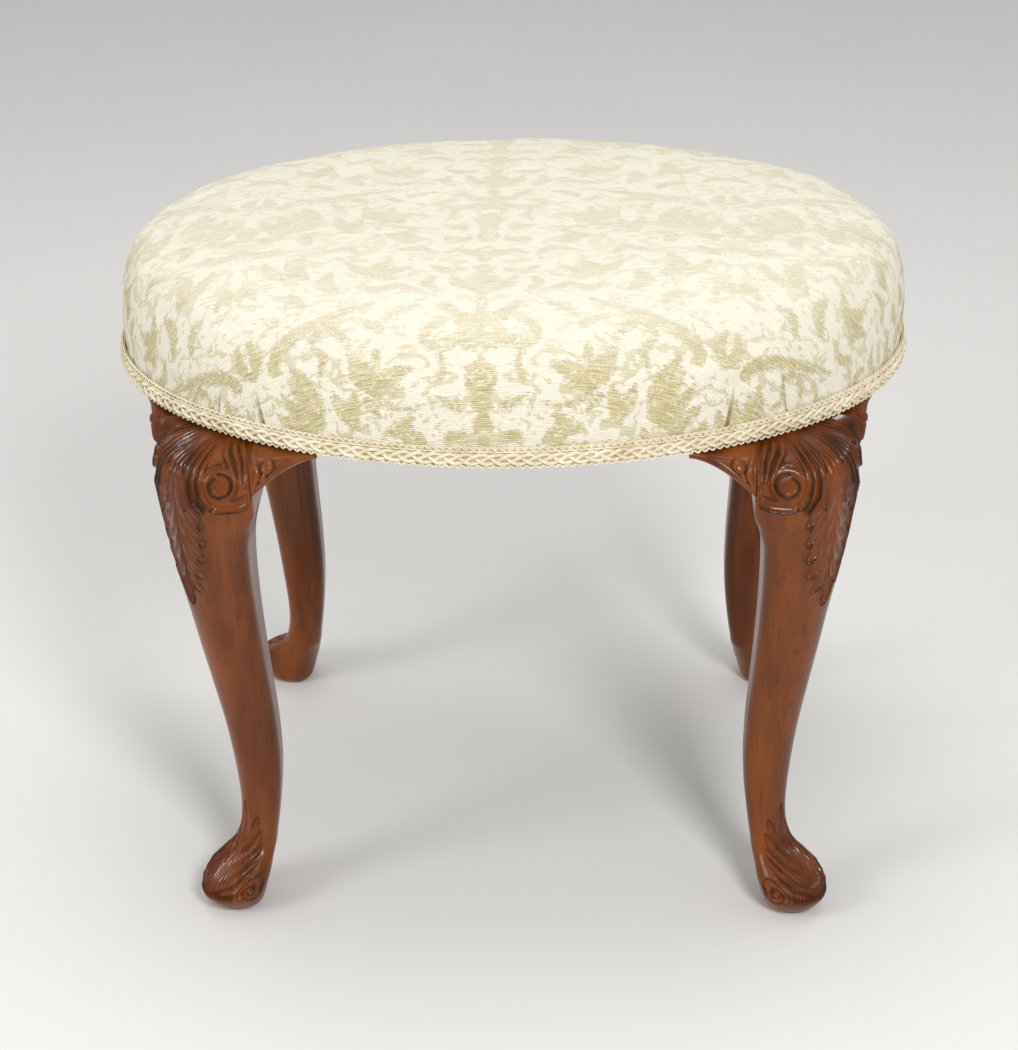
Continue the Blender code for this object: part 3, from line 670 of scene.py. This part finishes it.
TULIP_AND_FAN = [
    ([(98, 30), (103, 38), (105, 47)], [6.5, 5, 1.6]),
    ([(96, 30), (91, 38), (89, 45)], [6.5, 4.5, 1.6]),
    ([(98, 29), (97, 23)], [7, 3]),
    ([(86, 21), (100, 20)], [1.4, 2]),
    ([(124, 31), (121, 44), (126, 60), (132, 70)], [6, 6.4, 5.4, 1.2]),
    ([(131, 28), (131, 44), (137, 63)], [6, 6.2, 1.4]),
    ([(138, 26), (141, 42), (147, 56)], [6, 6, 1.2]),
    ([(145, 25), (151, 36), (158, 45)], [6, 5.4, 1.2]),
    ([(118, 18), (124, 10), (122, 2)], [3, 5, 4]),
    ([(140, 16), (150, 10), (158, 12)], [3.4, 5, 2]),
    ([(165, 34), (162, 24), (165, 12)], [2, 5, 3]),
    ([(110, 62), (106, 70), (112, 78)], [2.4, 3.6, 2]),
]
GARLAND = [
    ([(146, 74), (138, 84), (118, 92), (94, 100), (70, 108)], [5, 5.5, 4.5, 3.6, 1.4]),
    ([(112, 84), (106, 88)], [3, 4]),
    ([(98, 90), (92, 84), (88, 78)], [4, 3.4, 2]),
    ([(60, 92), (52, 99), (42, 103)], [2.4, 4, 1.4]),
    ([(75, 90), (66, 84)], [2, 4]),
    ([(160, 96), (158, 84), (164, 74)], [2.4, 5.4, 2]),
]
UPPER_FLOWER = [
    ([(0, 118), (0, 128), (0, 138)], [6, 11, 4]),
    ([(8, 124), (17, 130), (20, 139)], [6, 5, 1.4]),
    ([(0, 146), (0, 152)], [4.4, 5.4]),
    ([(14, 150), (26, 148), (34, 154)], [2, 4.4, 2]),
    ([(30, 118), (36, 128), (32, 138)], [2.2, 4.6, 1.6]),
    ([(44, 120), (56, 126), (68, 122), (80, 128)], [1.4, 3.4, 3.6, 1.4]),
    ([(62, 138), (70, 150), (64, 164)], [4, 8, 1.6]),
    ([(70, 146), (82, 152), (90, 162)], [6, 5, 1.4]),
    ([(60, 148), (50, 154)], [5, 2]),
    ([(96, 124), (104, 136), (100, 148)], [3, 6.4, 2]),
    ([(116, 112), (124, 122), (136, 126)], [2, 4.4, 1.8]),
    ([(118, 146), (126, 160), (122, 174)], [3.4, 7.4, 2]),
    ([(130, 150), (142, 156), (148, 168)], [5.4, 4.6, 1.4]),
    ([(150, 130), (158, 138), (165, 134)], [2.4, 5, 4]),
    ([(0, 166), (0, 178), (0, 186)], [4, 8, 3]),
    ([(8, 176), (18, 182), (26, 178)], [4.4, 4, 1.6]),
    ([(34, 176), (44, 186), (58, 184)], [2, 4.6, 1.6]),
    ([(84, 178), (94, 186), (106, 182)], [2.4, 5, 1.8]),
    ([(140, 188), (152, 182), (164, 188)], [2, 5, 3]),
]


def damask_field(x, y):
    """How deep each point lies inside the woven pattern, in mm, and its place in the mirrored repeat."""
    column = np.abs((x - PATTERN_MIDDLE + PATTERN_HALF_WIDTH) % (2 * PATTERN_HALF_WIDTH) - PATTERN_HALF_WIDTH)
    row = y % PATTERN_HEIGHT
    field = np.full(len(x), -6.0)
    groups = (FLOWER_AND_POTS, SCROLLS_AND_LILY, BIG_LEAF_AND_BRANCH, TULIP_AND_FAN, GARLAND, UPPER_FLOWER)
    for path, widths in sum(groups, []):
        path = spline(path) if len(path) > 2 else np.asarray(path, float)
        widths = np.interp(np.linspace(0, 1, len(path)), np.linspace(0, 1, len(widths)), widths)
        low, high = path.min(0) - widths.max() - 6, path.max(0) + widths.max() + 6
        near = (column > low[0]) & (column < high[0]) & (row > low[1]) & (row < high[1])
        points = np.stack([column[near], row[near]], 1)
        for a, b, first, last in zip(path[:-1], path[1:], widths[:-1], widths[1:]):
            run = b - a
            t = np.clip(((points - a) @ run) / (run @ run), 0, 1)
            away = np.linalg.norm(points - a - t[:, None] * run, axis=1)
            field[near] = np.maximum(field[near], first + (last - first) * t - away)
    return field, column, np.abs(y % (2 * PATTERN_HEIGHT) - PATTERN_HEIGHT)


GIMP_LOW, GIMP_TALL = 373.2, 15.5
SHRINK, RAIL_TALL = 2.5, 58.0
TUCKS = [(-1.0126, 1, 30), (-0.8453, -1, 32), (-2.1777, -1, 24), (-2.3081, 1, 16)]
TUCKS += [(1.01, 1, 28), (0.86, -1, 30), (2.12, 1, 28), (2.29, -1, 26)]


def seat_surface(across, up, moves=None):
    """Places the grid's points on the seat, and marks the distances along the cloth and the pattern on it."""
    line, hem = seat_profile()
    length = np.concatenate([[0], np.cumsum(np.linalg.norm(np.diff(line, axis=0), axis=1))])
    edge = length[hem]
    way = np.interp(up, [0, 0.08, 1], [0, edge, length[-1]])
    inset, z = np.interp(way, length, line[:, 0]), np.interp(way, length, line[:, 1])
    angles = np.linspace(-math.pi, math.pi, 8001)
    crowd = np.cumsum(1 + sum(4 * np.exp(-(((angles - tuck[0]) / 0.03) ** 2)) for tuck in TUCKS))
    turn = np.interp(across, (crowd - crowd[0]) / (crowd[-1] - crowd[0]) * 2 - 1, angles)
    stretch = 1 + (SEAT_LENGTH / SEAT_DEPTH - 1) * inset / SEAT_DEPTH
    x = (SEAT_LENGTH - inset * stretch) * np.cos(turn)
    y = (SEAT_DEPTH - inset) * np.sin(turn)
    out = np.stack([np.cos(turn) / SEAT_LENGTH, np.sin(turn) / SEAT_DEPTH], 1)
    out /= np.linalg.norm(out, axis=1)[:, None]
    outside = np.clip((way - edge) / 4, 0, 1)
    from_edge = np.clip(way - edge, 0, None)
    drop = (length[-1] - edge - from_edge) - (SEAT_DEPTH - inset)
    cloth_x, cloth_y = x + out[:, 0] * drop, y + out[:, 1] * drop
    low = np.exp(-((from_edge / 30) ** 2))
    push = 0.35 * np.sin(turn * 47 + 2.0 * np.sin(turn * 5)) * low
    off_middle = np.clip((SEAT_DEPTH - inset) / 120, 0, 1) ** 2
    push += 0.6 * np.sin(turn * 3 + 0.8) * np.sin(from_edge / 45) * off_middle
    lump = 0.8 * np.sin(cloth_x / 47 + 1.3) * np.sin(cloth_y / 39 + 0.4)
    push += (lump + 0.4 * np.sin(cloth_x / 21 - cloth_y / 33)) * (1 - low)
    # The crease mark along each tuck's fold line darkens the damask's colour there as painted shade.
    crease = np.zeros_like(turn)
    for at, lean, tall in TUCKS:
        off = (turn - at) * 235 * lean - (from_edge - GIMP_TALL) * 0.15
        fade = np.clip(1 - (from_edge - GIMP_TALL) / tall, 0, 1) ** 0.8
        cut = np.exp(-(((off + 0.9) / 1.0) ** 2))
        push += fade * (np.where(off > -0.9, np.exp(-np.clip(off, 0, 60) / 8), 0) * 2.4 - 2.2 * cut)
        crease = np.maximum(crease, fade * cut)
    push -= SHRINK * np.clip((from_edge - RAIL_TALL) / 30, 0, 1)
    push *= outside
    side = np.clip((468 - z) / 30, 0, 1)
    x, y = x + push * out[:, 0] * side, y + push * out[:, 1] * side
    z = z + push * (1 - side) * 0.7
    front = length[-1] - edge - GIMP_TALL
    field, column, row = damask_field(cloth_x, cloth_y + front)
    marks = {"weft": cloth_x, "warp": cloth_y, "damask": field, "column": column, "row": row}
    marks.update(crease=crease, across=across, up=up)
    points = np.stack([x, y, z], 1)
    if moves is not None:
        points += between_cells(moves, across, up)
    return points * MM, marks


TRIAL_COLUMNS, TRIAL_ROWS = 220, 64
MOST_MOVE, EASE = 4.5, 6.0


def between_cells(moves, across, up):
    """The moves of the trial cover's points, read at places between them."""
    column, row = (across + 1) / 2 * TRIAL_COLUMNS, up * TRIAL_ROWS
    left = np.clip(column.astype(int), 0, TRIAL_COLUMNS - 1)
    below = np.clip(row.astype(int), 0, TRIAL_ROWS - 1)
    aside, above = (column - left)[:, None], (row - below)[:, None]
    low = moves[below, left] * (1 - aside) + moves[below, left + 1] * aside
    high = moves[below + 1, left] * (1 - aside) + moves[below + 1, left + 1] * aside
    return low * (1 - above) + high * above


def pressed_cover():
    """How the cover's points move, in mm, when the stuffing presses it out and its tacked edge is held."""
    mesh = shaped_from_grid("trial_cover", TRIAL_COLUMNS, TRIAL_ROWS, seat_surface)
    trial = bpy.data.objects.new("trial_cover", mesh)
    bpy.context.scene.collection.objects.link(trial)
    count = len(mesh.vertices)
    across, up, start = np.empty(count), np.empty(count), np.empty(count * 3)
    mesh.attributes["across"].data.foreach_get("value", across)
    mesh.attributes["up"].data.foreach_get("value", up)
    mesh.vertices.foreach_get("co", start)
    held = trial.vertex_groups.new(name="tacked")
    held.add([int(i) for i in np.flatnonzero(up < 0.15)], 1.0, "REPLACE")
    cloth = trial.modifiers.new("cloth", "CLOTH")
    cloth.settings.quality = 6
    cloth.settings.tension_stiffness = cloth.settings.compression_stiffness = 30
    cloth.settings.shear_stiffness = 15
    cloth.settings.bending_stiffness = 1.5
    cloth.settings.use_pressure = True
    cloth.settings.uniform_pressure_force = 4
    cloth.settings.vertex_group_mass = "tacked"
    cloth.settings.effector_weights.gravity = 0
    for step in range(1, 21):
        bpy.context.scene.frame_set(step)
    end = np.empty(count * 3)
    trial.evaluated_get(bpy.context.evaluated_depsgraph_get()).data.vertices.foreach_get("co", end)
    bpy.data.objects.remove(trial)
    bpy.context.scene.frame_set(1)
    move = (end - start).reshape(-1, 3) / MM
    far = np.linalg.norm(move, axis=1)[:, None]
    move *= MOST_MOVE / (far + EASE)
    moves = np.full((TRIAL_ROWS + 1, TRIAL_COLUMNS + 1, 3), np.nan)
    moves[np.rint(up * TRIAL_ROWS).astype(int), np.rint((across + 1) / 2 * TRIAL_COLUMNS).astype(int)] = move
    moves[:, -1] = moves[:, 0] = np.where(np.isnan(moves[:, 0]), moves[:, -1], moves[:, 0])
    for end_row in (0, -1):
        moves[end_row] = np.nanmean(moves[end_row], axis=0)
    return moves


damask, shader, place = new_finish("cream_gold_damask")
weft, warp = mark(place, "weft"), mark(place, "warp")
cloth = place.node("ShaderNodeCombineXYZ", X=weft, Y=warp)
ragged = noise(stretched(cloth, 0.16, 0.9, 1), 1.0, 3.0)
fine = noise(stretched(cloth, 0.5, 2.6, 1), 1.0, 2.0)
slubs = noise(stretched(cloth, 0.07, 1.3, 1), 1.0, 3.0)
repeat = place.node("ShaderNodeCombineXYZ", X=mark(place, "column"), Y=mark(place, "row"))
broad, narrow = stretched(repeat, 0.075, 0.095, 1), stretched(repeat, 0.11, 0.14, 1)
leafage = place.node("ShaderNodeTexNoise", Vector=broad, Scale=1.0, Detail=3.0, Distortion=1.4)
veins = place.node("ShaderNodeTexNoise", Vector=narrow, Scale=1.0, Distortion=0.9)
ridge = (veins - 0.5).maths("ABSOLUTE")
edges = (ragged - 0.5) * 11.0 + (fine - 0.5) * 4.0
motif = (mark(place, "damask") + edges).between(-0.6, 0.8) * (0.25 + ridge.between(0.005, 0.04) * 0.75)
small_leaves = ((leafage - 0.545) * 60 + edges * 0.7).between(-0.6, 1.2) * 0.62
pattern = motif.maths("MAXIMUM", small_leaves)
bend = (noise(stretched(cloth, 0.05, 0.2, 1), 1.0, 2.0) - 0.5) * 6.0
ribs = (warp * 4.6 + bend).maths("SINE") * 0.5 + 0.5
beads = (weft * 5.2 + (fine - 0.5) * 6.0).maths("SINE") * 0.5 + 0.5
ground = slubs.between(0.35, 0.7).blend((0.84, 0.785, 0.63), (0.905, 0.87, 0.76))
gold = (slubs * 0.7 + fine * 0.3).between(0.38, 0.60).blend((0.36, 0.295, 0.085), (0.70, 0.61, 0.33))
height = place.node("ShaderNodeSeparateXYZ", None, 2, Vector=place)
# Painted light: the gold pattern is made paler towards the top of the seat, as if washed out by light there;
# the noise fades it at random.
painted_top_light_and_fade = 0.95 - height.between(0.420, 0.474) * 0.50 - noise(place, 11.0, 2.0) * 0.12
colour = (pattern * painted_top_light_and_fade).blend(ground, gold)
# Painted shade: the colour darkens along each tuck's fold line.
colour = (mark(place, "crease") * 0.75).blend(colour, (0.20, 0.15, 0.07))
feed(((1 - ribs) * (0.10 + beads * 0.14)).blend(colour, (0.42, 0.34, 0.19)), shader["Base Color"])
shader["Roughness"].default_value = 0.9
weave = ribs * (0.6 + beads * 0.4) + slubs * 0.7 + pattern * 0.8
feed(bump(place, weave, 0.6, 0.0007), shader["Normal"])
shader["Sheen Weight"].default_value = 0.12
shader["Sheen Roughness"].default_value = 0.6
cover_moves = pressed_cover()


def pressed_seat(across, up):
    return seat_surface(across, up, cover_moves)


seat_mesh = closed_ends(shaped_from_grid("stuffed_seat", SEAT_COLUMNS, SEAT_ROWS, pressed_seat))
seat_mesh.shade_smooth()
layers = ("seat_cover", "wadding", "hair_stuffing", "hessian")
seat = add_piece("stuffed_seat", seat_mesh, damask, "damask", *layers)


# The gimp: a woven braid glued over the tacked edge of the cover, with a plait of three cords between two
# looped edges on a narrow ground.

GIMP_OUT = 0.8


def round_the_seat(along, out, z):
    """Points at distances along the braid, out from the cover and up, in metres."""
    turn = np.linspace(0, math.tau, 4000)
    a, b = SEAT_LENGTH - GIMP_OUT, SEAT_DEPTH - GIMP_OUT
    way = np.concatenate([[0], np.cumsum(np.hypot(np.diff(a * np.cos(turn)), np.diff(b * np.sin(turn))))])
    angle = np.interp(along * way[-1], way, turn)
    return np.stack([(a + out) * np.cos(angle), (b + out) * np.sin(angle), z], 1) * MM


def braid_cord(name, waves, samples, radius, shape_of, phase=0.0):
    """A cord that runs round the seat in waves, as a mesh."""
    along = np.arange(waves * samples) / (waves * samples)
    out, z = shape_of(along * waves * math.tau + phase)
    points = round_the_seat(along, out, z)
    curve = bpy.data.curves.new(name, "CURVE")
    curve.dimensions = "3D"
    curve.bevel_depth = radius * MM
    curve.bevel_resolution = 1
    line = curve.splines.new("POLY")
    line.points.add(len(points) - 1)
    line.points.foreach_set("co", np.concatenate([points, np.ones((len(points), 1))], 1).ravel())
    line.use_cyclic_u = True
    holder = bpy.data.objects.new(name, curve)
    bpy.context.scene.collection.objects.link(holder)
    mesh = bpy.data.meshes.new_from_object(holder.evaluated_get(bpy.context.evaluated_depsgraph_get()))
    bpy.data.objects.remove(holder)
    return mesh


def band_surface(across, up):
    """The braid's ground: a thin band with rounded edges."""
    turn = up * math.tau
    out = 1.2 + 1.1 * np.clip(np.cos(turn) * 1.6, -1, 1)
    z = GIMP_LOW + GIMP_TALL * (0.5 + 0.46 * np.sin(turn))
    return round_the_seat((across + 1) / 2, out * 0.55, z), {}


PLAIT_MIDDLE, GIMP_TOP = GIMP_LOW + GIMP_TALL * 0.44, GIMP_LOW + GIMP_TALL


def plait(t):
    return 2.2 + 0.75 * np.sin(2 * t), PLAIT_MIDDLE + 3.2 * np.sin(t)


def upper_loops(t):
    return 2.0 + 0.3 * np.cos(t), GIMP_TOP - 1.5 + 0.9 * np.sin(t)


def upper_cord(t):
    return 2.1 + 0.25 * np.sin(t), GIMP_TOP - 3.6 + 0.2 * np.cos(t)


def lower_loops(t):
    return 2.1 + 0.3 * np.cos(t), GIMP_LOW + 1.5 + 0.8 * np.sin(t)


cords = [closed_ends(shaped_from_grid("gimp_ground", 320, 10, band_surface))]
for strand in range(3):
    cords.append(braid_cord("plait", 52, 22, 1.35, plait, strand * math.tau / 3))
cords.append(braid_cord("upper_loops", 330, 8, 0.62, upper_loops))
cords.append(braid_cord("upper_cord", 330, 4, 0.7, upper_cord))
cords.append(braid_cord("lower_loops", 300, 8, 0.7, lower_loops))
shape = bmesh.new()
for cord in cords:
    shape.from_mesh(cord)
gimp_mesh = bpy.data.meshes.new("gimp")
shape.to_mesh(gimp_mesh)
shape.free()
gimp_mesh.shade_smooth()

braid, shader, place = new_finish("cream_gold_braid")
yarn = noise(place, 900, 2.0)
patches = noise(place, 60, 3.0)
faded = (yarn * 0.55 + patches * 0.45).between(0.3, 0.7)
feed(faded.blend((0.60, 0.49, 0.29), (0.90, 0.84, 0.68)), shader["Base Color"])
feed(0.7 + yarn * 0.2, shader["Roughness"])
feed(bump(place, yarn, 0.6, 0.0004), shader["Normal"])
shader["Sheen Weight"].default_value = 0.1
add_piece("woven_gimp", gimp_mesh, braid, "gimp", "gimp_braid")


# The dust cloth: black cambric tacked under the rails to close the seat from below, notched round the legs
# and hanging a little slack in the middle.

CLOTH_THICKNESS = 0.0008
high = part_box("dust_cloth")[1]


def cloth_surface(across, up):
    turn = across * math.pi
    x, y = high.x * up * np.cos(turn), high.y * up * np.sin(turn)
    room_x, room_y = FOOT_X - (POST + 1) * MM, FOOT_Y - (POST + 1) * MM
    past = np.maximum(room_x / np.maximum(np.abs(x), 1e-6), room_y / np.maximum(np.abs(y), 1e-6))
    keep = np.minimum(1, past)
    slack = np.clip(1 - up**2, 0, 1)
    wrinkle = 0.0006 * np.sin(x * 60 + 3 * np.sin(y * 25)) * slack
    wrinkle += 0.0004 * np.sin(turn * 37) * np.clip(up - 0.6, 0, 1)
    z = high.z - CLOTH_THICKNESS / 2 - 0.004 * slack + wrinkle * (up < 0.97)
    return np.stack([x * keep, y * keep, z], 1), {"weft": x * 1000, "warp": y * 1000}


cloth_mesh = shaped_from_grid("cambric", 160, 48, cloth_surface)
shape = bmesh.new()
shape.from_mesh(cloth_mesh)
bmesh.ops.recalc_face_normals(shape, faces=shape.faces)
bmesh.ops.solidify(shape, geom=shape.faces[:], thickness=CLOTH_THICKNESS)
bmesh.ops.translate(shape, verts=shape.verts, vec=(0, 0, high.z - max(v.co.z for v in shape.verts)))
shape.to_mesh(cloth_mesh)
shape.free()
cloth_mesh.shade_smooth()
cambric, shader, place = new_finish("black_cambric")
threads = woven(mark(place, "weft"), mark(place, "warp"), 0.9)
dust = noise(place, 30, 4.0)
dusty = (threads * 0.5 + dust * 0.5).between(0.2, 0.9)
feed(dusty.blend((0.008, 0.008, 0.009), (0.045, 0.043, 0.042)), shader["Base Color"])
shader["Roughness"].default_value = 0.95
feed(bump(place, threads, 0.4, 0.0003), shader["Normal"])
dust_cloth = add_piece("dust_cloth_below", cloth_mesh, cambric, "dust_cloth", "dust_cloth")


# The floor, the light and the camera. A pale floor runs out to the background, three soft boxes and a plain
# sky light the stool, and the camera stands where the photographer stood, looking down at the seat.

shape = bmesh.new()
bmesh.ops.create_grid(shape, x_segments=1, y_segments=1, size=30)
floor_mesh = bpy.data.meshes.new("floor")
shape.to_mesh(floor_mesh)
shape.free()
floor = bpy.data.objects.new("floor", floor_mesh)
bpy.context.scene.collection.objects.link(floor)
pale, shader, place = new_finish("pale_floor")
feed(noise(place, 3.0, 2.0).blend((0.78, 0.77, 0.75), (0.82, 0.81, 0.79)), shader["Base Color"])
shader["Roughness"].default_value = 0.9
floor_mesh.materials.append(pale)

world = bpy.data.worlds.new("soft_sky")
world.use_nodes = True
sky = world.node_tree.nodes["Background"].inputs
sky["Color"].default_value = (1.0, 1.0, 1.0, 1)
sky["Strength"].default_value = 0.5
bpy.context.scene.world = world


def soft_box(name, where, size, power):
    lamp = bpy.data.lights.new(name, "AREA")
    lamp.shape = "DISK"
    lamp.size = size
    lamp.energy = power
    holder = bpy.data.objects.new(name, lamp)
    holder.location = where
    holder.rotation_euler = (Vector((0, 0, 0.3)) - Vector(where)).to_track_quat("-Z", "Y").to_euler()
    bpy.context.scene.collection.objects.link(holder)


soft_box("key_light", (0.8, -2.1, 1.9), 0.7, 40)
soft_box("fill_light", (-1.9, -1.2, 1.4), 1.0, 16)
soft_box("top_light", (0.0, 0.3, 2.5), 1.6, 17)

PITCH, AZIMUTH, ROLL, DISTANCE = math.radians(26.5), math.radians(2.55), math.radians(-1.14), 1.747
TARGET = Vector((-0.005, 0, 0.2248))
FOCAL_PIXELS, IMAGE_HEIGHT = 2333, 1050
camera = bpy.data.cameras.new("camera")
camera.sensor_width = 36
camera.lens = 36 * FOCAL_PIXELS / IMAGE_HEIGHT
holder = bpy.data.objects.new("camera", camera)
back = Vector((math.sin(AZIMUTH) * math.cos(PITCH), -math.cos(AZIMUTH) * math.cos(PITCH), math.sin(PITCH)))
right = (-back).cross(Vector((0, 0, 1))).normalized()
up = right.cross(-back)
rolled_right = right * math.cos(ROLL) + up * math.sin(ROLL)
rolled_up = up * math.cos(ROLL) - right * math.sin(ROLL)
axes = Matrix((rolled_right, rolled_up, back))
holder.matrix_world = Matrix.Translation(TARGET + back * DISTANCE) @ axes.transposed().to_4x4()
bpy.context.scene.collection.objects.link(holder)
bpy.context.scene.camera = holder
bpy.context.scene.view_settings.view_transform = "Standard"
